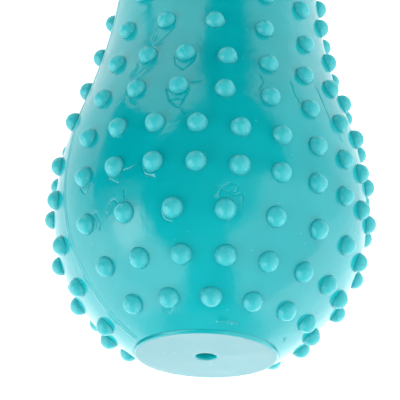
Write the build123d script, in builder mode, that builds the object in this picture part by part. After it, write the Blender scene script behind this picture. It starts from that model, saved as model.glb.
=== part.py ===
"""Hollow double-ended massage ball with a nubbed skin, end discs and an inflation valve.

Units are millimetres. The ball lies on its side on the XY plane. Its long axis runs
along Y at the height axis_height, the end with the valve faces -Y, and the origin is
the middle of the floor under it. Azimuths round the axis are measured from +Z
towards +X. The rear half of the body mirrors the front half.
"""

import os
from math import acos, asin, cos, degrees, pi, radians, sin, sqrt

from build123d import *

# Body outline: three tangent arcs from each end to the middle.
half_length = 100.0  # from the middle to each end plane of the shell
belly_radius = 34.7  # widest radius of the shell
belly_offset = 68.2  # from the middle to the widest section
nose_arc = 36.1  # from the end plane to the widest section
shoulder_arc = 69.6  # from the widest section towards the waist
shoulder_angle = 18.4  # degrees turned by the shoulder arc
wall = 2.4
mouth_radius = 12.0  # opening in each end of the shell

# End discs.
flange_radius = 15.2
flange_proud = 0.7  # how far a disc stands out of the end plane
flange_edge = 0.25  # rounding of the flange's rim
needle_radius = 2.25  # hole for the inflation needle

# Valve behind the front disc.
foot_radius = 9.0  # bonded flange of the housing
foot_depth = 1.2
sleeve_radius = 6.5
pocket_radius = 4.6
lip_radius = 3.0  # opening in the lip at each end of the pocket
lip_depth = 2.0
core_length = 9.0

# Nubs.
nub_radius = 2.15
axis_height = 36.53  # the ball rests on two nubs of each bulb

# Rows of nubs on the front half, from the end to the middle. The nubs of a row are evenly
# spaced round each half of the mould, so a half has its distance from the end plane, the
# azimuth of the nub beside the seam, the spacing and the count. The second half is
# counted the other way round, and the row nearest the middle has only the first half.
nub_rows = (
    ((4.5, -43, 22, 8), (4, -80, -24, 7)),
    ((11, -48, 18, 9), (11, -76, -22, 8)),
    ((19, -51, 18.5, 9), (19, -74, -19.5, 9)),
    ((28, -49.5, 14.5, 11), (28.5, -74, -16, 11)),
    ((36.5, -49.5, 14.5, 11), (37, -77, -15.5, 11)),
    ((45.5, -46.5, 16.5, 10), (46, -71, -23.5, 8)),
    ((55, -45.5, 16.5, 10), (56.5, -78, -22, 8)),
    ((65.5, -46.5, 22.5, 7), (67, -80, -22, 8)),
    ((76, -42, 22, 7), (81, -90, -22, 7)),
    ((86, -48, 22, 8), (92.5, -88, -24, 7)),
    ((95.5, -46, 22, 7),),
)
row_wander = 1.6  # how far a row swings along the axis, each way
row_droop = 2.4  # how far its sides lean towards the middle
row_swing_length = 110.0  # both are greatest half this far from the end

# Derived sizes.
turn = radians(shoulder_angle)
shoulder_offset = belly_offset - shoulder_arc * sin(turn)
shoulder_radius = belly_radius - shoulder_arc * (1 - cos(turn))
waist_arc = shoulder_offset / sin(turn)
waist_centre = shoulder_radius + waist_arc * cos(turn)

# The section plane has x along the ball's axis and y outward.
section = Plane(origin=(0, 0, axis_height), x_dir=(0, 1, 0), z_dir=(1, 0, 0))
spine = Axis((0, 0, axis_height), (0, 1, 0))


def across(offset):
    """A plane across the axis at this Y, with its normal along +Y."""
    return Plane(origin=(0, offset, axis_height), x_dir=(1, 0, 0), z_dir=(0, 1, 0))


def outer_radius(offset):
    """Radius of the bare shell at this distance from the middle."""
    distance = abs(offset)
    if distance < shoulder_offset:
        return waist_centre - sqrt(waist_arc**2 - distance**2)
    arc = shoulder_arc if distance < belly_offset else nose_arc
    return belly_radius - arc + sqrt(arc**2 - (distance - belly_offset) ** 2)


def outward_tilt(offset):
    """Angle in radians between the outward normal and the radius, towards the near end."""
    distance = abs(offset)
    if distance < shoulder_offset:
        return -asin(distance / waist_arc)
    arc = shoulder_arc if distance < belly_offset else nose_arc
    return asin((distance - belly_offset) / arc)


def nub_spots():
    """The offset from the middle and the azimuth, in radians, of each nub of the front half."""
    spots = []
    for halves in nub_rows:
        for station, first, spacing, count in halves:
            swing = sin(pi * station / row_swing_length) ** 2
            for index in range(count):
                azimuth = radians(first + spacing * index)
                drift = swing * (row_droop * sin(azimuth) ** 2 - row_wander * sin(2 * azimuth))
                spots.append((half_length - station - drift, azimuth))
    return spots


def nub_places():
    """One plane per nub, centred on the shell's outside and facing straight out of it."""
    places = []
    for offset, azimuth in nub_spots():
        radius = outer_radius(offset)
        tilt = outward_tilt(offset)
        for side in (-1, 1):
            centre = (
                radius * sin(azimuth),
                side * offset,
                axis_height + radius * cos(azimuth),
            )
            outward = (
                cos(tilt) * sin(azimuth),
                side * sin(tilt),
                cos(tilt) * cos(azimuth),
            )
            places.append(Plane(origin=centre, z_dir=outward))
    return places


def draw_body_outline(inset, end):
    """Draw the closed half-section of the body, moved inward by inset and cut off at end."""
    nose = nose_arc - inset
    shoulder = shoulder_arc - inset
    waist = waist_arc + inset
    nose_centre = belly_radius - nose_arc
    shoulder_centre = belly_radius - shoulder_arc
    cut = degrees(acos((end - belly_offset) / nose))
    end_radius = nose_centre + nose * sin(radians(cut))
    CenterArc((belly_offset, nose_centre), nose, cut, 90 - cut)
    CenterArc((belly_offset, shoulder_centre), shoulder, 90, shoulder_angle)
    CenterArc((0, waist_centre), waist, 270 - shoulder_angle, 2 * shoulder_angle)
    CenterArc((-belly_offset, shoulder_centre), shoulder, 90, -shoulder_angle)
    CenterArc((-belly_offset, nose_centre), nose, 90, 90 - cut)
    Polyline((-end, end_radius), (-end, 0), (end, 0), (end, end_radius))


def build_shell():
    """The moulded skin: one hollow body with its nubs, open at both ends."""
    with BuildPart() as shell:
        with BuildSketch(section):
            with BuildLine():
                draw_body_outline(0, half_length)
            make_face()
        revolve(axis=spine)
        with Locations(*nub_places()):
            Sphere(nub_radius)
        with BuildSketch(section):
            with BuildLine():
                draw_body_outline(wall, half_length - wall)
            make_face()
        revolve(axis=spine, mode=Mode.SUBTRACT)
        with BuildSketch(across(-half_length)):
            Circle(mouth_radius)
        extrude(amount=2 * half_length, mode=Mode.SUBTRACT)
    return shell


def build_end_disc(side, hole_radius):
    """A disc with its flange proud of the end plane and its spigot in the mouth."""
    with BuildPart() as disc:
        with BuildSketch(across(side * half_length)):
            Circle(flange_radius)
        extrude(amount=side * flange_proud)
        rim = disc.edges().sort_by(Axis.Y)[0 if side < 0 else -1]
        fillet(rim, radius=flange_edge)
        with BuildSketch(across(side * half_length)):
            Circle(mouth_radius)
        extrude(amount=-side * wall)
        if hole_radius > 0:
            with BuildSketch(across(side * (half_length + flange_proud))):
                Circle(hole_radius)
            extrude(amount=-side * (flange_proud + wall), mode=Mode.SUBTRACT)
    return disc


def build_valve_housing():
    """The sleeve bonded to the back of the front disc, with a lipped pocket."""
    back = wall - half_length
    with BuildPart() as housing:
        with BuildSketch(across(back)):
            Circle(foot_radius)
        extrude(amount=foot_depth)
        with BuildSketch(across(back)):
            Circle(sleeve_radius)
        extrude(amount=core_length + 2 * lip_depth)
        with BuildSketch(across(back)):
            Circle(lip_radius)
        extrude(amount=core_length + 2 * lip_depth, mode=Mode.SUBTRACT)
        with BuildSketch(across(back + lip_depth)):
            Circle(pocket_radius)
        extrude(amount=core_length, mode=Mode.SUBTRACT)
    return housing


def build_valve_core():
    """The rubber plug that fills the pocket and closes round the needle."""
    with BuildPart() as core:
        with BuildSketch(across(wall + lip_depth - half_length)):
            Circle(pocket_radius)
        extrude(amount=core_length)
    return core


os.makedirs("parts", exist_ok=True)

shell = build_shell()
shell.part.label = "shell"
export_step(shell.part, "parts/shell.step")

front_end_disc = build_end_disc(-1, needle_radius)
front_end_disc.part.label = "front_end_disc"
export_step(front_end_disc.part, "parts/front_end_disc.step")

rear_end_disc = build_end_disc(1, 0)
rear_end_disc.part.label = "rear_end_disc"
export_step(rear_end_disc.part, "parts/rear_end_disc.step")

valve_housing = build_valve_housing()
valve_housing.part.label = "valve_housing"
export_step(valve_housing.part, "parts/valve_housing.step")

valve_core = build_valve_core()
valve_core.part.label = "valve_core"
export_step(valve_core.part, "parts/valve_core.step")
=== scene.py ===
"""Glossy, hollow, double-ended massage ball lying on a bright studio table.

Lengths are in metres unless a name ends in _MM. The ball's axis runs along Y at the
height of the end disc's centre, and azimuths round it run from +Z towards +X. The
outline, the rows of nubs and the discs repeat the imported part's own sizes.
"""

import bpy
import numpy as np
from mathutils import Matrix, Vector
from mathutils.geometry import delaunay_2d_cdt


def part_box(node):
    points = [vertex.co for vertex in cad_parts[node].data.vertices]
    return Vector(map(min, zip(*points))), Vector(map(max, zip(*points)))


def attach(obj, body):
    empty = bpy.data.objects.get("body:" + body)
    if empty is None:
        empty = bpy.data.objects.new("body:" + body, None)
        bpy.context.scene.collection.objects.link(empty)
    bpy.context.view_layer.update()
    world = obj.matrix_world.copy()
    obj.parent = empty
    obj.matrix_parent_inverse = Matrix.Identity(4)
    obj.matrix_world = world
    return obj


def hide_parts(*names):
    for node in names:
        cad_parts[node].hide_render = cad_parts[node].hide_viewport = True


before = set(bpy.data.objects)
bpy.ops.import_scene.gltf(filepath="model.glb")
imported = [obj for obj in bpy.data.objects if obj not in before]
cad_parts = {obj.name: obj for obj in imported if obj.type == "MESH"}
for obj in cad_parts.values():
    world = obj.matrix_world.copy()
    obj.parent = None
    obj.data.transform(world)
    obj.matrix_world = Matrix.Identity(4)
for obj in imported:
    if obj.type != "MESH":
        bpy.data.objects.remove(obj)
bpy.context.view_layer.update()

MM = 0.001

# Outline of the bare shell: three tangent arcs from each end to the middle.
HALF_MM = 100.0
BELLY_RADIUS_MM = 34.7
BELLY_OFFSET_MM = 68.2
NOSE_ARC_MM = 36.1
SHOULDER_ARC_MM = 69.6
SHOULDER_ANGLE = np.radians(18.4)
WALL_MM = 2.4
MOUTH_MM = 12.0

# Rows of nubs on the front half, evenly spaced round each half of the mould: distance
# from the end plane, azimuth of the nub beside the seam, spacing and count. The second
# half is counted the other way round, and the row nearest the middle has only the first.
NUB_MM = 2.15
NUB_FILLET_MM = 0.16
SEAM = -64.3
ROWS = (
    ((4.5, -43, 22, 8), (4, -80, -24, 7)),
    ((11, -48, 18, 9), (11, -76, -22, 8)),
    ((19, -51, 18.5, 9), (19, -74, -19.5, 9)),
    ((28, -49.5, 14.5, 11), (28.5, -74, -16, 11)),
    ((36.5, -49.5, 14.5, 11), (37, -77, -15.5, 11)),
    ((45.5, -46.5, 16.5, 10), (46, -71, -23.5, 8)),
    ((55, -45.5, 16.5, 10), (56.5, -78, -22, 8)),
    ((65.5, -46.5, 22.5, 7), (67, -80, -22, 8)),
    ((76, -42, 22, 7), (81, -90, -22, 7)),
    ((86, -48, 22, 8), (92.5, -88, -24, 7)),
    ((95.5, -46, 22, 7),),
)
ROW_WANDER_MM = 1.6  # how far a row swings along the axis, each way
ROW_DROOP_MM = 2.4  # how far its sides lean towards the middle
ROW_SWING_MM = 110.0  # both are greatest half this far from the end

disc_low, disc_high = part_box("front_end_disc")
AXIS_MM = (disc_low.z + disc_high.z) / 2 / MM

# Outline, worked out once.
SHOULDER_OFFSET_MM = BELLY_OFFSET_MM - SHOULDER_ARC_MM * np.sin(SHOULDER_ANGLE)
SHOULDER_RADIUS_MM = BELLY_RADIUS_MM - SHOULDER_ARC_MM * (1 - np.cos(SHOULDER_ANGLE))
WAIST_ARC_MM = SHOULDER_OFFSET_MM / np.sin(SHOULDER_ANGLE)
WAIST_CENTRE_MM = SHOULDER_RADIUS_MM + WAIST_ARC_MM * np.cos(SHOULDER_ANGLE)


def radius_at(y, inset=0.0):
    """Radius of the shell, moved inward by inset, at the distance y along the axis."""
    d = np.abs(np.asarray(y, float))
    waist = WAIST_CENTRE_MM - np.sqrt((WAIST_ARC_MM + inset) ** 2 - np.minimum(d, 110) ** 2)
    arc = np.where(d < BELLY_OFFSET_MM, SHOULDER_ARC_MM, NOSE_ARC_MM)
    run = (arc - inset) ** 2 - (d - BELLY_OFFSET_MM) ** 2
    bulb = BELLY_RADIUS_MM - arc + np.sqrt(np.maximum(run, 0))
    edge = SHOULDER_OFFSET_MM + inset * np.sin(SHOULDER_ANGLE)
    return np.where(d < edge, waist, bulb)


# The outline measured by its own length, from the front corner to the rear one.
LINE_Y = np.linspace(-HALF_MM, HALF_MM, 8001)
LINE_R = radius_at(LINE_Y)
LINE_T = np.concatenate([[0], np.cumsum(np.hypot(np.diff(LINE_Y), np.diff(LINE_R)))])
LENGTH_MM = LINE_T[-1]


def y_at(t):
    return np.interp(t, LINE_T, LINE_Y)


def t_at(y):
    return np.interp(y, LINE_Y, LINE_T)


def seam_at(t):
    """Azimuth of the parting line in radians: it drifts a little over each shoulder."""
    d = np.abs(y_at(t))
    k = np.clip((62 - d) / 30, 0, 1)
    return np.radians(SEAM - 5.0 * k * k * (3 - 2 * k))


# Small unevenness of the soft skin, as waves through the space it sits in.
rng = np.random.default_rng(11)


def waves(count, shortest, longest, height):
    """Random plane waves: (wave vectors, phases, heights)."""
    way = rng.normal(size=(count, 3))
    way /= np.linalg.norm(way, axis=1)[:, None]
    span = np.exp(rng.uniform(np.log(shortest), np.log(longest), count))
    heights = height * (span / longest) ** 1.1 / np.sqrt(count / 2)
    return way * (2 * np.pi / span)[:, None], rng.uniform(0, 2 * np.pi, count), heights


SKIN_WAVES = waves(36, 9.0, 60.0, 0.16)


def unevenness(points):
    ways, phases, heights = SKIN_WAVES
    return np.sin(points @ ways.T + phases) @ heights


# Parting line: two thin raised lips with a groove between them.
LIP_MM = 0.10
LIP_OFF_MM = 0.42
LIP_WIDTH_MM = 0.22


def parting_relief(azimuth, t, radius):
    out = np.zeros_like(t)
    for turn in (0, np.pi):
        gap = (azimuth - seam_at(t) - turn + np.pi) % (2 * np.pi) - np.pi
        d = gap * radius
        for side in (-1, 1):
            out += LIP_MM * np.exp(-(((d - side * LIP_OFF_MM) / LIP_WIDTH_MM) ** 2))
    return out


MARKS = []  # filled in below: flow marks as runs of points in (azimuth, t)
MARK_DEPTH_MM = 0.16
MARK_WIDTH_MM = 0.17


def mark_relief(azimuth, t, radius):
    """Fine grooves of the flow marks, at the points near one."""
    out = np.zeros_like(t)
    for run_a, run_t, depth in MARKS:
        scale = radius_at(y_at(run_t.mean()))
        near = np.abs(t - run_t.mean()) < np.ptp(run_t) / 2 + 1.5
        gap = (azimuth - run_a.mean() + np.pi) % (2 * np.pi) - np.pi
        near &= np.abs(gap) * scale < np.ptp(run_a) * scale / 2 + 1.5
        if not near.any():
            continue
        px = (run_a.mean() + gap[near]) * scale
        pt = t[near]
        best = np.full(len(px), 9.0)
        for k in range(len(run_a) - 1):
            ax, at = run_a[k] * scale, run_t[k]
            bx, bt = run_a[k + 1] * scale, run_t[k + 1]
            dx, dt = bx - ax, bt - at
            u = np.clip(((px - ax) * dx + (pt - at) * dt) / (dx * dx + dt * dt), 0, 1)
            best = np.minimum(best, np.hypot(px - ax - u * dx, pt - at - u * dt))
        out[near] -= depth * np.exp(-((best / MARK_WIDTH_MM) ** 2))
    return out


def bare_point(azimuth, t):
    """Points and outward normals of the exact outline."""
    y = y_at(t)
    r = radius_at(y)
    step = 0.02
    before, after = np.clip(y - step, -HALF_MM, HALF_MM), np.clip(y + step, -HALF_MM, HALF_MM)
    slope = (radius_at(after) - radius_at(before)) / (after - before)
    s, c = np.sin(azimuth), np.cos(azimuth)
    point = np.stack([r * s, y, AXIS_MM + r * c], -1)
    normal = np.stack([s, -slope, c], -1)
    normal /= np.linalg.norm(normal, axis=-1)[..., None]
    return point, normal


def skin_point(azimuth, t):
    """Points of the real skin: the outline with its unevenness, seam and marks."""
    point, normal = bare_point(azimuth, t)
    r = np.hypot(point[:, 0], point[:, 2] - AXIS_MM)
    fade = np.clip(np.minimum(t, LENGTH_MM - t) / 3.0, 0, 1)
    lift = unevenness(point) * fade
    lift += parting_relief(azimuth, t, r) * np.clip(fade * 3, 0, 1)
    lift += mark_relief(azimuth, t, r)
    return point + normal * lift[:, None]


def skin_normal(azimuth, t):
    """Outward normals of the real skin, by small steps each way."""
    y = y_at(t)
    da = 0.05 / radius_at(y)
    dt = 0.05
    low, high = np.clip(t - dt, 0, LENGTH_MM), np.clip(t + dt, 0, LENGTH_MM)
    along_a = skin_point(azimuth + da, t) - skin_point(azimuth - da, t)
    along_t = skin_point(azimuth, high) - skin_point(azimuth, low)
    normal = np.cross(along_a, along_t)
    normal /= np.linalg.norm(normal, axis=1)[:, None]
    return normal


def nub_places():
    """(azimuth, t) of every nub, by row, half of the mould, place in the row and end."""
    out = {}
    for row, halves in enumerate(ROWS, 1):
        for half, (station, first, spacing, count) in enumerate(halves):
            swing = np.sin(np.pi * station / ROW_SWING_MM) ** 2
            for index in range(count):
                azimuth = np.radians(first + spacing * index)
                drift = swing * (ROW_DROOP_MM * np.sin(azimuth) ** 2 - ROW_WANDER_MM * np.sin(2 * azimuth))
                for side in (-1, 1):
                    y = side * (HALF_MM - station - drift)
                    out[row, half, index, side] = (float(azimuth), float(t_at(y)))
    return out


NUBS = nub_places()

# ---------------------------------------------------------------- shell mesh

SEGMENTS = 18  # round each nub
COLUMNS = 150  # round the shell
ROW_STEP_MM = 1.45
KEEP_CLEAR_MM = 0.5  # between a grid point and a nub's foot, a seam line or a mark
SEAM_LINES_MM = (0.0, 0.2, 0.42, 0.64, 1.0)
MARK_LINES_MM = (0.0, 0.17, 0.36)
MARK_STEP_MM = 0.45
DOME_ANGLES = (22.0, 38.0, 54.0, 70.0)
MARK_ROOM_MM = 0.45  # between a mark and the nearest grid point
NUB_ROOM_MM = 0.12  # between a mark and a nub's foot
POINT_ROOM_MM = 0.09  # between two points of marks


def nub_rings():
    """The nub's profile from its foot up: (distance from its middle, height, normal's angle)."""
    reach = np.sqrt((NUB_MM + NUB_FILLET_MM) ** 2 - NUB_FILLET_MM**2)
    low = np.arcsin(NUB_FILLET_MM / (NUB_MM + NUB_FILLET_MM))
    middle = (low + np.pi / 2) / 2
    rings = [(reach, 0.0, np.pi / 2)]
    rings.append((reach - NUB_FILLET_MM * np.cos(middle), NUB_FILLET_MM * (1 - np.sin(middle)), middle))
    rings.append((NUB_MM * np.cos(low), NUB_MM * np.sin(low), low))
    for angle in np.radians(DOME_ANGLES):
        rings.append((NUB_MM * np.cos(angle), NUB_MM * np.sin(angle), angle))
    return rings


RINGS = nub_rings()
FOOT_MM = RINGS[0][0]
FLAT_MM = 30.0  # the unrolled skin is drawn as if it had this radius


def around(place, reach, phase=0.0):
    """(azimuth, t) of a ring of points round a nub, at this distance along the skin."""
    azimuth, t = place
    turn = np.arange(SEGMENTS) * 2 * np.pi / SEGMENTS + phase
    at = t + reach * np.sin(turn)
    return azimuth + reach * np.cos(turn) / radius_at(y_at(np.full(1, t)))[0], at


def unrolled(azimuth, t):
    """Flat coordinates: from the parting line round to itself, and along the skin."""
    gap = (azimuth - seam_at(t)) % (2 * np.pi)
    return np.stack([gap * FLAT_MM, t], -1)


def grid_points():
    """The skin's plain grid with the finer lines along both parting lines."""
    count = int(round(LENGTH_MM / ROW_STEP_MM))
    rows = np.linspace(0, LENGTH_MM, count + 1)
    out = []
    for j, t in enumerate(rows):
        r = radius_at(y_at(t))
        lines = []
        for turn in (0, np.pi, 2 * np.pi):
            for d in SEAM_LINES_MM:
                for side in (-1, 1):
                    gap = turn + side * d / r
                    if 0 <= gap <= 2 * np.pi:
                        lines.append(gap)
        lines = sorted(set(np.round(lines, 9)))
        seam_zone = (SEAM_LINES_MM[-1] + KEEP_CLEAR_MM) / r
        stagger = 0.5 if j % 2 and 0 < j < count else 0.0
        plain = (np.arange(COLUMNS) + stagger) * 2 * np.pi / COLUMNS
        near = np.minimum(np.abs((plain + np.pi / 2) % np.pi - np.pi / 2), 9)
        plain = plain[near > seam_zone]
        out += [(g * FLAT_MM, t, r) for g in np.concatenate([lines, plain])]
    return np.array(out)


def smooth_run(points, step):
    """A rounded line through given points, at about this spacing."""
    p = np.array(points, float)
    p = np.vstack([2 * p[0] - p[1], p, 2 * p[-1] - p[-2]])
    out = []
    for k in range(1, len(p) - 2):
        n = max(2, int(np.ceil(np.hypot(*(p[k + 1] - p[k])) / step)))
        u = (np.arange(n) / n)[:, None]
        out.append(
            0.5
            * (
                2 * p[k]
                + (p[k + 1] - p[k - 1]) * u
                + (2 * p[k - 1] - 5 * p[k] + 4 * p[k + 1] - p[k + 2]) * u**2
                + (3 * p[k] - p[k - 1] - 3 * p[k + 1] + p[k + 2]) * u**3
            )
        )
    out.append(p[-2:-1])
    return np.vstack(out)


def add_mark(row, index, points, depth=MARK_DEPTH_MM, half=0, side=-1):
    """A flow mark drawn in millimetres from a nub: across towards +X, and towards the near end."""
    azimuth, t = NUBS[row, half, index, side]
    run = smooth_run(points, MARK_STEP_MM)
    scale = radius_at(y_at(t))
    MARKS.append((azimuth + run[:, 0] / scale, t + side * run[:, 1], depth))


def mark_points():
    """Extra points along each flow mark and beside it."""
    out = []
    for run_a, run_t, _ in MARKS:
        scale = radius_at(y_at(run_t.mean()))
        line = np.stack([run_a * scale, run_t], -1)
        way = np.gradient(line, axis=0)
        way /= np.maximum(np.linalg.norm(way, axis=1), 1e-9)[:, None]
        beside = np.stack([-way[:, 1], way[:, 0]], -1)
        for d in MARK_LINES_MM:
            for sign in (-1, 1) if d else (1,):
                moved = line + beside * d * sign
                out.append(np.stack([moved[:, 0] / scale, moved[:, 1]], -1))
    return np.vstack(out) if out else np.zeros((0, 2))


def clear_of(flat, radius, others, distance):
    """Which points are at least this far, in millimetres on the skin, from all the others."""
    from mathutils.kdtree import KDTree

    tree = KDTree(len(others))
    for k, (x, t) in enumerate(others):
        tree.insert((x, t, 0), k)
    tree.balance()
    keep = np.ones(len(flat), bool)
    for k, (x, t) in enumerate(flat):
        squash = radius[k] / FLAT_MM
        for co, _, _ in tree.find_range((x, t, 0), distance / min(squash, 1.0)):
            if np.hypot((co.x - x) * squash, co.y - t) < distance:
                keep[k] = False
                break
    return keep


def skin_triangles():
    """The unrolled skin cut into triangles: flat points, each nub's foot and the faces."""
    places = list(NUBS.values())
    feet = [unrolled(*around(p, FOOT_MM)) for p in places]
    grid = grid_points()
    flat, grid_r = grid[:, :2], grid[:, 2]
    centres = np.array([unrolled(np.array([a]), np.array([t]))[0] for a, t in places])
    keep = clear_of(flat, grid_r, centres, FOOT_MM + KEEP_CLEAR_MM)
    marks = mark_points()
    if len(marks):
        marks = unrolled(marks[:, 0], marks[:, 1])
        marks = marks[clear_of(marks, radius_at(y_at(marks[:, 1])), centres, FOOT_MM + NUB_ROOM_MM)]
        thin = []
        for p in marks:  # drop points that fall on one another where lines meet
            if all(np.hypot(*(p - q)) > POINT_ROOM_MM for q in thin[-500:]):
                thin.append(p)
        marks = np.array(thin)
        edge = (flat[:, 0] < 1e-6) | (flat[:, 0] > 2 * np.pi * FLAT_MM - 1e-6)
        keep &= clear_of(flat, grid_r, marks, MARK_ROOM_MM) | edge
    flat = flat[keep]
    points = np.vstack([flat, marks.reshape(-1, 2), *feet])
    start = len(points) - SEGMENTS * len(feet)
    loops = [list(range(start + k * SEGMENTS, start + (k + 1) * SEGMENTS)) for k in range(len(feet))]
    made, _, faces, origin, _, inside = delaunay_2d_cdt(
        [Vector((float(x), float(t))) for x, t in points], [], loops, 0, 1e-7
    )
    back = [o[0] for o in origin]
    faces = [[back[v] for v in f] for f, held in zip(faces, inside) if not held]
    return points, start, faces


class Build:
    """Vertices, faces and their wanted normals, gathered piece by piece."""

    def __init__(self):
        self.co, self.normal, self.faces, self.smooth = [], [], [], []
        self.on_nub = []

    def points(self, co, normal=None, on_nub=0.0):
        first = len(self.co)
        self.co += [tuple(c) for c in co]
        self.on_nub += [on_nub] * len(co)
        self.normal += [tuple(n) for n in (normal if normal is not None else np.zeros((len(co), 3)))]
        return list(range(first, len(self.co)))

    def face(self, corners, smooth=True):
        self.faces.append(tuple(corners))
        self.smooth.append(smooth)

    def band(self, low, high, smooth=True):
        """Quads between two closed rings of the same length."""
        n = len(low)
        for k in range(n):
            self.face((low[k], low[(k + 1) % n], high[(k + 1) % n], high[k]), smooth)

    def fan(self, ring, middle, smooth=True):
        n = len(ring)
        for k in range(n):
            self.face((ring[k], ring[(k + 1) % n], middle), smooth)

    def piece(self, name):
        """The object, in metres. Faces whose corners all have a wanted normal get it."""
        used = np.unique(np.concatenate([np.array(f) for f in self.faces]))
        place = np.full(len(self.co), -1)
        place[used] = np.arange(len(used))
        self.faces = [tuple(int(place[v]) for v in f) for f in self.faces]
        self.co = [self.co[k] for k in used]
        self.normal = [self.normal[k] for k in used]
        mesh = bpy.data.meshes.new(name)
        mesh.from_pydata([Vector(c) * MM for c in self.co], [], self.faces)
        share = mesh.attributes.new("nub", "FLOAT", "POINT")
        share.data.foreach_set("value", [self.on_nub[k] for k in used])
        mesh.polygons.foreach_set("use_smooth", self.smooth)
        mesh.update()
        wanted = np.array(self.normal)
        if np.abs(wanted).sum() > 0:
            loop_vertex = np.zeros(len(mesh.loops), int)
            mesh.loops.foreach_get("vertex_index", loop_vertex)
            sizes = np.array([len(f) for f in self.faces])
            owner = np.repeat(np.arange(len(sizes)), sizes)
            given = np.linalg.norm(wanted, axis=1)[loop_vertex] > 0.5
            whole = np.ones(len(sizes), bool)
            np.logical_and.at(whole, owner, given)
            whole &= np.array(self.smooth)
            normals = np.where(whole[owner][:, None], wanted[loop_vertex], 0.0)
            mesh.normals_split_custom_set(normals.tolist())
        obj = bpy.data.objects.new(name, mesh)
        bpy.context.scene.collection.objects.link(obj)
        return obj


def ring_at(y, radius, azimuths):
    return np.stack(
        [radius * np.sin(azimuths), np.full_like(azimuths, y), AXIS_MM + radius * np.cos(azimuths)], -1
    )


# Flow marks the mould left round the nubs: (row, nub in the first half, path in mm).
FLOW_MARKS = (
    (8, 1, ((1.9, 1.9), (1.1, 4.2), (-1.1, 6.8))),
    (8, 1, ((-2.3, 1.6), (-2.6, 5.3))),
    (7, 1, ((-2.3, 1.3), (-1.6, 3.3), (-2.4, 5.7))),
    (7, 1, ((2.0, 1.4), (0.5, 3.1), (-1.7, 5.7))),
    (7, 2, ((-2.3, 1.0), (-1.7, 3.2), (-0.1, 5.2))),
    (7, 2, ((2.2, 1.0), (1.5, 3.2), (-0.1, 5.2))),
    (6, 1, ((-2.2, 1.6), (-1.6, 3.0), (-0.4, 3.8))),
    (6, 2, ((-2.4, 1.0), (-1.7, 3.4), (-0.4, 5.2), (0.8, 5.2), (1.5, 3.4), (2.3, 1.0))),
    (6, 2, ((-1.5, 3.8), (0.0, 3.4), (1.4, 3.8))),
    (6, 2, ((0.0, 5.1), (0.9, 5.9), (1.3, 6.6))),
    (6, 2, ((2.6, -0.7), (3.6, -0.9), (4.6, -1.1))),
    (6, 4, ((-1.9, -5.7), (-1.5, -4.0), (-2.4, -2.0))),
    (6, 5, ((-3.9, -5.7), (-3.7, -3.0), (-2.6, -0.8))),
    (6, 6, ((-5.5, -6.8), (-4.0, -1.3), (-2.8, 2.4), (-0.2, 4.4))),
    (4, 0, ((-1.6, 2.0), (0.0, 3.6), (1.5, 2.0))),
    (4, 1, ((-1.6, 2.2), (-0.4, 3.0), (0.7, 3.6), (1.6, 2.2))),
    (4, 1, ((2.2, 1.3), (4.4, 0.9), (6.6, 0.0))),
    (4, 2, ((-2.4, 0.9), (-1.9, 2.3), (-0.4, 3.0))),
    (3, 0, ((2.3, -1.2), (2.7, 0.0), (2.5, 1.4))),
    (3, 0, ((3.4, -1.0), (3.8, 0.4), (3.6, 1.6))),
    (3, 1, ((-3.8, -1.5), (-3.0, -2.8), (-2.0, -3.1), (-1.5, -2.3))),
    (3, 1, ((0.6, -4.4), (0.45, -2.9))),
    (3, 2, ((-2.4, 0.7), (-1.9, 2.2), (-0.5, 2.9))),
    (3, 3, ((-1.4, -3.0), (-0.6, -4.4), (0.8, -5.2), (2.0, -4.6), (1.7, -3.5), (0.7, -3.6))),
    (3, 3, ((-2.0, -4.4), (0.0, -3.4), (1.4, -2.9), (2.8, -3.2), (3.2, -2.1))),
    (1, 1, ((-2.4, 3.0), (-0.9, 3.4), (0.0, 2.4))),
)


# Small nibs of plastic beside the front disc: (first-row nub, across and down from it in mm).
RIM_NIBS = ((2, 2.6, 5.6), (3, -4.4, 5.6), (3, -2.0, 5.8), (5, -0.6, 5.6))


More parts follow.
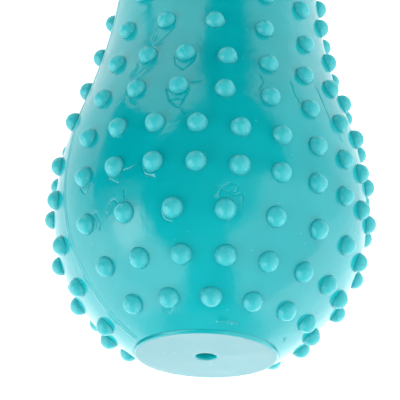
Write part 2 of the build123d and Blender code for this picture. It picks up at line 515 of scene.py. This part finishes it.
def make_shell():
    """The whole skin as one closed mesh: outside with nubs, end lands, mouths and inside."""
    flat, start, faces = skin_triangles()
    build = Build()
    t = flat[:, 1]
    azimuth = flat[:, 0] / FLAT_MM + seam_at(t)
    build.points(skin_point(azimuth, t), skin_normal(azimuth, t))

    # Both sides of the cut along the parting line are the same points.
    same = np.arange(len(flat))
    last = 2 * np.pi * FLAT_MM - 1e-6
    left = {round(float(p[1]), 6): k for k, p in enumerate(flat) if p[0] < 1e-6}
    for k in np.nonzero(flat[:, 0] > last)[0]:
        same[k] = left[round(float(flat[k, 1]), 6)]
    for f in faces:
        corners = [int(same[v]) for v in f]
        if len(set(corners)) == 3:
            build.face(corners)

    # Nubs: rings that rise from each foot in the skin to a dome.
    places = list(NUBS.values())
    all_a = np.array([around(p, reach)[0] for p in places for reach, _, _ in RINGS[1:]])
    all_t = np.array([around(p, reach)[1] for p in places for reach, _, _ in RINGS[1:]])
    ground = skin_point(all_a.ravel(), all_t.ravel()).reshape(len(places), -1, SEGMENTS, 3)
    tops = skin_point(np.array([p[0] for p in places]), np.array([p[1] for p in places]))
    _, outs = bare_point(np.array([p[0] for p in places]), np.array([p[1] for p in places]))
    for k in range(len(places)):
        ring = list(range(start + k * SEGMENTS, start + (k + 1) * SEGMENTS))
        out = outs[k]
        for level, (reach, height, angle) in enumerate(RINGS[1:]):
            base = ground[k, level]
            away = base - tops[k]
            away -= (away @ out)[:, None] * out
            away /= np.linalg.norm(away, axis=1)[:, None]
            normals = away * np.cos(angle) + out * np.sin(angle)
            upper = build.points(base + out * height, normals, on_nub=float(level > 0))
            build.band(ring, upper)
            ring = upper
        top = build.points([tops[k] + out * NUB_MM], [out], on_nub=1.0)[0]
        build.fan(ring, top)

    # End lands, mouths and the inside, as rings with the skin's own end points.
    def end_ring(limit):
        own = [k for k in range(min(start, len(flat))) if same[k] == k]
        ends = [k for k in own if abs(flat[k, 1] - limit) < 1e-6]
        return sorted(ends, key=lambda k: flat[k, 0])

    front, rear = end_ring(0.0), end_ring(LENGTH_MM)
    a_front = np.array([azimuth[k] for k in front])
    a_rear = np.array([azimuth[k] for k in rear])
    land = build.points(ring_at(-HALF_MM, MOUTH_MM, a_front))
    build.band(land, front, smooth=False)
    ring = build.points(ring_at(WALL_MM - HALF_MM, MOUTH_MM, a_front))
    build.band(ring, land, smooth=False)
    steps = np.linspace(-1, 1, 41)
    reach = HALF_MM - WALL_MM
    for k, step in enumerate(steps):
        y = reach * np.sin(step * np.pi / 2)
        share = (step + 1) / 2
        inner = build.points(ring_at(y, radius_at(y, WALL_MM), a_front * (1 - share) + a_rear * share))
        build.band(inner, ring, smooth=0 < k)
        ring = inner
    inner = build.points(ring_at(reach, MOUTH_MM, a_rear))
    build.band(inner, ring, smooth=False)
    land = build.points(ring_at(HALF_MM, MOUTH_MM, a_rear))
    build.band(land, inner, smooth=False)
    build.band(rear, land, smooth=False)
    return build.piece("ball_skin")


# ---------------------------------------------------------------- end discs

FLANGE_MM = 15.2
PROUD_MM = 0.7
RIM_MM = 0.3  # rounding of the rim
NEEDLE_MM = 2.25
CHAMFER_MM = 0.18
DISC_SEGMENTS = 144
DISC_WAVES = waves(22, 4.0, 24.0, 0.05)


def disc_lift(x, z):
    """Slight unevenness of a disc's face."""
    ways, phases, heights = DISC_WAVES
    return np.sin(np.stack([x, 0 * x, z], -1) @ ways.T + phases) @ heights


def open_edge(azimuths):
    """From 0, where the rim is bonded to the skin, to 1, where a crevice shows round it."""
    left = np.exp(-(((azimuths + 1.05) / 0.42) ** 2))
    right = 0.7 * np.exp(-(((azimuths - 1.2) / 0.3) ** 2))
    return np.clip(left + right, 0, 1)


def make_disc(name, side, hole):
    """A disc with a rounded rim and its spigot in the mouth; side is -1 at the front."""
    turn = np.linspace(-np.pi, np.pi, DISC_SEGMENTS, endpoint=False)
    build = Build()
    face = HALF_MM + PROUD_MM

    def ring(height, radius, lifted=0.0):
        radius = radius * np.ones_like(turn)
        x, z = radius * np.sin(turn), radius * np.cos(turn)
        y = height + lifted * disc_lift(x + 40 * side, z)
        return build.points(np.stack([x, side * y, AXIS_MM + z], -1))

    def band(low, high, smooth=True):
        if side < 0:
            build.band(high, low, smooth)
        else:
            build.band(low, high, smooth)

    # From the back face's middle, round the rim, to the front face's middle.
    inner = NEEDLE_MM if hole else 0.6
    rings = [ring(HALF_MM - WALL_MM, inner)]
    rings.append(ring(HALF_MM - WALL_MM, MOUTH_MM))
    rings.append(ring(HALF_MM, MOUTH_MM))
    bonded = 1 - open_edge(turn)
    foot = FLANGE_MM - 0.25 + 0.6 * bonded
    rings.append(ring(HALF_MM + 0.02, foot))
    waist = FLANGE_MM - 0.2 * (1 - bonded) + 0.12 * bonded
    rings.append(ring(HALF_MM + 0.2, waist))
    for k in range(5):
        a = k / 4 * np.pi / 2
        out, up = RIM_MM * np.cos(a), RIM_MM * np.sin(a)
        rings.append(ring(face - RIM_MM + up, FLANGE_MM - RIM_MM + out, 0.4 * np.sin(a)))
    for r in np.arange(14.4, inner + CHAMFER_MM + 0.3, -0.6):
        rings.append(ring(face, r, np.clip((FLANGE_MM - r) / 1.5, 0.4, 1)))
    if hole:
        rings.append(ring(face, inner + CHAMFER_MM, 0.5))
        rings.append(ring(face - CHAMFER_MM * 0.35, inner + CHAMFER_MM * 0.3))
        rings.append(ring(face - CHAMFER_MM, inner))
        rings.append(ring(face - 1.2, inner))
        for low, high in zip(rings, rings[1:] + rings[:1]):
            band(low, high)
    else:
        for low, high in zip(rings, rings[1:]):
            band(low, high)
        for end, flip in ((rings[0], side > 0), (rings[-1], side < 0)):
            height = HALF_MM - WALL_MM if end is rings[0] else face
            middle = build.points([(0, side * height, AXIS_MM)])[0]
            build.fan(end[::-1] if flip else end, middle)
    obj = build.piece(name)
    obj.data.set_sharp_from_angle(angle=np.radians(40))
    return obj


# ---------------------------------------------------------------- materials


class Wiring:
    """Short ways to add nodes to a tree."""

    def __init__(self, tree):
        self.tree = tree

    def add(self, kind, **settings):
        node = self.tree.nodes.new(kind)
        for key, value in settings.items():
            setattr(node, key, value)
        return node

    def link(self, a, b):
        self.tree.links.new(a, b)

    def ramp(self, value, low, high, to_low=0.0, to_high=1.0, soft=False):
        node = self.add("ShaderNodeMapRange")
        if soft:
            node.interpolation_type = "SMOOTHSTEP"
        self.link(value, node.inputs["Value"])
        for key, number in zip(("From Min", "From Max", "To Min", "To Max"), (low, high, to_low, to_high)):
            node.inputs[key].default_value = number
        return node.outputs["Result"]

    def maths(self, operation, *values):
        node = self.add("ShaderNodeMath", operation=operation)
        for socket, value in zip(node.inputs, values):
            if isinstance(value, (int, float)):
                socket.default_value = value
            else:
                self.link(value, socket)
        return node.outputs[0]


class Nodes(Wiring):
    """A material's node tree with its Principled shader."""

    def __init__(self, name):
        self.material = bpy.data.materials.new(name)
        self.material.use_nodes = True
        super().__init__(self.material.node_tree)
        self.shader = self.tree.nodes["Principled BSDF"]
        self.where = self.add("ShaderNodeTexCoord").outputs["Object"]

    def set(self, **values):
        for key, value in values.items():
            self.shader.inputs[key.replace("_", " ")].default_value = value

    def noise(self, scale, detail=2.0, roughness=0.5, distortion=0.0):
        node = self.add("ShaderNodeTexNoise")
        self.link(self.where, node.inputs["Vector"])
        node.inputs["Scale"].default_value = scale
        node.inputs["Detail"].default_value = detail
        node.inputs["Roughness"].default_value = roughness
        node.inputs["Distortion"].default_value = distortion
        return node.outputs["Fac"]

    def mix(self, share, a, b):
        node = self.add("ShaderNodeMix", data_type="RGBA")
        if isinstance(share, float):
            node.inputs["Factor"].default_value = share
        else:
            self.link(share, node.inputs["Factor"])
        for key, colour in (("A", a), ("B", b)):
            socket = [s for s in node.inputs if s.name == key and s.type == "RGBA"][0]
            if isinstance(colour, tuple):
                socket.default_value = (*colour, 1.0)
            else:
                self.link(colour, socket)
        return [s for s in node.outputs if s.type == "RGBA"][0]

    def bump(self, height, distance, strength=1.0, under=None):
        node = self.add("ShaderNodeBump")
        node.inputs["Distance"].default_value = distance
        node.inputs["Strength"].default_value = strength
        self.link(height, node.inputs["Height"])
        if under is not None:
            self.link(under, node.inputs["Normal"])
        return node.outputs["Normal"]

    def specks(self, scale, size, share):
        """Small round bubbles: 1 inside one, with only this share of the cells holding any."""
        cells = self.add("ShaderNodeTexVoronoi")
        self.link(self.where, cells.inputs["Vector"])
        cells.inputs["Scale"].default_value = scale
        inside = self.ramp(cells.outputs["Distance"], size * scale, size * scale * 0.4)
        split = self.add("ShaderNodeSeparateColor")
        self.link(cells.outputs["Color"], split.inputs[0])
        chosen = self.maths("LESS_THAN", split.outputs[0], share)
        return self.maths("MULTIPLY", inside, chosen)


TEAL_DEEP = (0.0, 0.385, 0.425)
TEAL_MILKY = (0.004, 0.455, 0.49)
NUB_TEAL = (0.04, 0.50, 0.54)
# The two disc colours are darker than the shell's: painted shade for the less-lit end faces of the discs.
DISC_SHADED_TEAL = (0.01, 0.26, 0.30)
DISC_SHADED_MILKY = (0.02, 0.29, 0.33)
BUBBLE = (0.06, 0.56, 0.60)


def soft_pvc(name, roughness=(0.08, 0.20), bump=0.00008, colours=(TEAL_DEEP, TEAL_MILKY), nubs=True):
    """Glossy, slightly milky soft plastic with faint swirls, bubbles and mould texture."""
    n = Nodes(name)
    swirl = n.ramp(n.noise(38.0, 3.0, 0.55, 0.6), 0.3, 0.7)
    colour = n.mix(swirl, *colours)
    colour = n.mix(n.specks(400.0, 0.00022, 0.55), colour, BUBBLE)
    rough = n.ramp(n.noise(120.0, 4.0, 0.6), 0.3, 0.75, *roughness)
    if not nubs:  # painted shade: the end faces get the darker disc colours, as they are less lit; the rim and the hole keep the shell's milky teal
        shaded_facing = n.add("ShaderNodeSeparateXYZ")
        n.link(n.add("ShaderNodeTexCoord").outputs["Normal"], shaded_facing.inputs[0])
        shaded_facing = n.ramp(n.maths("ABSOLUTE", shaded_facing.outputs["Y"]), 0.80, 0.98, soft=True)
        colour = n.mix(shaded_facing, TEAL_MILKY, colour)
    if nubs:  # the nubs are thicker, so milkier, and their moulds were left duller
        on_nub = n.add("ShaderNodeAttribute", attribute_name="nub").outputs["Fac"]
        colour = n.mix(on_nub, colour, NUB_TEAL)
        rough = n.maths("ADD", rough, n.maths("MULTIPLY", on_nub, 0.13))
    n.link(colour, n.shader.inputs["Base Color"])
    n.link(rough, n.shader.inputs["Roughness"])
    broad = n.bump(n.noise(170.0, 3.0, 0.5), bump * 2)
    if nubs:  # and duller means rougher too
        broad = n.bump(n.maths("MULTIPLY", n.noise(650.0, 3.0, 0.6), on_nub), 0.00025, under=broad)
    fine = n.bump(n.noise(1100.0, 2.0, 0.5), bump * 0.25, under=broad)
    n.link(fine, n.shader.inputs["Normal"])
    n.set(IOR=1.5, Subsurface_Weight=0.35, Subsurface_Scale=0.0016)
    n.shader.inputs["Subsurface Radius"].default_value = (0.25, 1.0, 1.0)
    return n.material


def plain_rubber(name, colour, roughness):
    n = Nodes(name)
    colour = n.mix(n.noise(300.0, 3.0), tuple(0.8 * c for c in colour), tuple(1.2 * c for c in colour))
    n.link(colour, n.shader.inputs["Base Color"])
    rough = n.ramp(n.noise(500.0, 3.0), 0.3, 0.7, roughness - 0.08, roughness + 0.08)
    n.link(rough, n.shader.inputs["Roughness"])
    n.link(n.bump(n.noise(2500.0), 0.00003), n.shader.inputs["Normal"])
    return n.material


# ---------------------------------------------------------------- studio


TABLE_GLOW = 0.9
TABLE_LEFT, TABLE_RIGHT = 2.2, 2.4  # brightness of the table in reflections, each side
TABLE_FAR = 0.5  # share of it left behind the ball
TABLE_FRONT = 0.13  # share of it left in front of the ball, where the camera is in the way


def table_top():
    """A white, lit table top, as a staged plane. It is brighter in reflections than seen."""
    mesh = bpy.data.meshes.new("table")
    size = 4.0
    corners = [(-size, -size, 0), (size, -size, 0), (size, size, 0), (-size, size, 0)]
    mesh.from_pydata(corners, [], [(0, 1, 2, 3)])
    obj = bpy.data.objects.new("table", mesh)
    bpy.context.scene.collection.objects.link(obj)
    n = Nodes("white_table")
    mirrored = n.add("ShaderNodeLightPath").outputs["Is Glossy Ray"]
    white = n.mix(n.noise(6.0), (0.86, 0.86, 0.87), (0.9, 0.9, 0.9))
    n.link(n.mix(mirrored, white, (0.0, 0.0, 0.0)), n.shader.inputs["Base Color"])
    n.set(Roughness=0.6)
    n.shader.inputs["Emission Color"].default_value = (0.98, 0.98, 1.0, 1.0)
    split = n.add("ShaderNodeSeparateXYZ")
    n.link(n.where, split.inputs[0])
    lit = n.ramp(split.outputs["X"], -0.06, 0.06, TABLE_LEFT, TABLE_RIGHT, soft=True)
    lit = n.maths("MULTIPLY", lit, n.ramp(split.outputs["Y"], -0.14, 0.0, 1.0, TABLE_FAR, soft=True))
    front = n.ramp(split.outputs["Y"], -0.165, -0.13, 1.0, 0.0, soft=True)
    nearer = n.maths("MULTIPLY", split.outputs["Y"], 0.5)
    aside = n.maths("ADD", n.maths("ABSOLUTE", split.outputs["X"]), nearer)
    middle = n.ramp(aside, -0.07, 0.03, 1.0, 0.0, soft=True)
    shaded = n.maths("MULTIPLY", n.maths("MULTIPLY", front, middle), 1.0 - TABLE_FRONT)
    lit = n.maths("MULTIPLY", lit, n.maths("SUBTRACT", 1.0, shaded))
    more = n.maths("MULTIPLY", mirrored, n.maths("SUBTRACT", lit, TABLE_GLOW))
    n.link(n.maths("ADD", more, TABLE_GLOW), n.shader.inputs["Emission Strength"])
    n.material.cycles.emission_sampling = "NONE"
    obj.data.materials.append(n.material)


# Bright panels of the room, as the ball sees them, in degrees: (azimuth from +Y
# towards +X, elevation, half width, half height, softness, radiance).
PANELS = {
    "near_left": (-130, 15, 24, 14, 14, 2.6),
    "near_left_core": (-110, 24, 7, 8, 12, 2.6),
    "left_wall": (-92, 12, 8, 26, 8, 0.55),
    "near_right": (116, 20, 38, 32, 12, 1.9),
    "near_right_top": (100, 70, 26, 8, 8, 0.4),
    "far_left": (-26, 24, 16, 18, 2.5, 1.5),
    "far_right": (47, 10, 22, 17, 8, 1.25),
    "behind_camera": (180, 10, 22, 40, 10, 0.15),
}
WORLD_DARK = 0.0
WORLD_SEEN = 0.95

OVERHEAD = (0, -0.1, 1.4)  # a large light that gives no reflection
OVERHEAD_SIZE = 2.2
OVERHEAD_RADIANCE = 1.0


def surroundings():
    """Soft panels round the ball, a pale room behind it for the camera, and light from above."""
    world = bpy.data.worlds.new("studio")
    bpy.context.scene.world = world
    world.use_nodes = True
    world.node_tree.nodes.clear()
    n = Wiring(world.node_tree)
    split = n.add("ShaderNodeSeparateXYZ")
    n.link(n.add("ShaderNodeTexCoord").outputs["Generated"], split.inputs[0])
    azimuth = n.maths("ARCTAN2", split.outputs["X"], split.outputs["Y"])
    elevation = n.maths("ARCSINE", split.outputs["Z"])
    total = WORLD_DARK
    for panel in PANELS.values():
        at, up, half_width, half_height, soft = np.radians(panel[:5]).tolist()
        aside = n.maths("ABSOLUTE", n.maths("WRAP", n.maths("SUBTRACT", azimuth, at), np.pi, -np.pi))
        above = n.maths("ABSOLUTE", n.maths("SUBTRACT", elevation, up))
        light = n.ramp(aside, half_width, half_width + soft, panel[5], 0.0, soft=True)
        upright = n.ramp(above, half_height, half_height + soft, 1.0, 0.0, soft=True)
        light = n.maths("MULTIPLY", light, upright)
        total = n.maths("ADD", light, total)
    seen = n.add("ShaderNodeLightPath").outputs["Is Camera Ray"]
    back = n.add("ShaderNodeBackground")
    strength = n.maths("ADD", total, n.maths("MULTIPLY", seen, n.maths("SUBTRACT", WORLD_SEEN, total)))
    n.link(strength, back.inputs["Strength"])
    n.link(back.outputs[0], n.add("ShaderNodeOutputWorld").inputs[0])

    light = bpy.data.lights.new("overhead", "AREA")
    light.size = OVERHEAD_SIZE
    light.energy = OVERHEAD_RADIANCE * np.pi * OVERHEAD_SIZE**2
    obj = bpy.data.objects.new("overhead", light)
    bpy.context.scene.collection.objects.link(obj)
    obj.location = OVERHEAD
    obj.visible_camera = obj.visible_glossy = False


# The camera stands off from the middle of the front end plane.
CAMERA_OFFSET = Vector((-0.0025, -0.0803, 0.2439))
CAMERA_DOWN = 64.5
CAMERA_ROLL = 2.1
CAMERA_LENS = 108.0


def make_camera():
    camera = bpy.data.cameras.new("camera")
    camera.lens, camera.sensor_width = CAMERA_LENS, 36.0
    camera.clip_start, camera.clip_end = 0.01, 20.0
    obj = bpy.data.objects.new("camera", camera)
    bpy.context.scene.collection.objects.link(obj)
    tilt = Matrix.Rotation(np.radians(90 - CAMERA_DOWN), 4, "X")
    tilt = tilt @ Matrix.Rotation(np.radians(CAMERA_ROLL), 4, "Z")
    place = Vector((0, -HALF_MM * MM, AXIS_MM * MM)) + CAMERA_OFFSET
    obj.matrix_world = Matrix.Translation(place) @ tilt
    bpy.context.scene.camera = obj


# ---------------------------------------------------------------- the scene

for row, index, path in FLOW_MARKS:
    add_mark(row, index, path)
for index, across, down in RIM_NIBS:
    add_mark(1, index, ((across - 0.4, down), (across + 0.4, down)), depth=-0.3)
skin = make_shell()
skin.data.materials.append(soft_pvc("soft_pvc"))
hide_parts("shell")

# The discs' faces carry darker colours than the shell: painted shade for their less-lit end faces.
disc_shaded_material = soft_pvc("disc_pvc_painted_shade", (0.14, 0.22), 0.00002, (DISC_SHADED_TEAL, DISC_SHADED_MILKY), nubs=False)
front = make_disc("front_disc", -1, True)
rear = make_disc("rear_disc", 1, False)
for disc, node in ((front, "front_end_disc"), (rear, "rear_end_disc")):
    disc.data.materials.append(disc_shaded_material)
    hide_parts(node)

for piece in (skin, front, rear):
    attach(piece, "root")

for node, material in (
    ("valve_housing", plain_rubber("housing_pvc", (0.0, 0.42, 0.46), 0.45)),
    ("valve_core", plain_rubber("core_rubber", (0.03, 0.035, 0.035), 0.6)),
):
    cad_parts[node].data.materials.clear()
    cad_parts[node].data.materials.append(material)

table_top()
surroundings()
make_camera()
bpy.context.scene.view_settings.view_transform = "Standard"
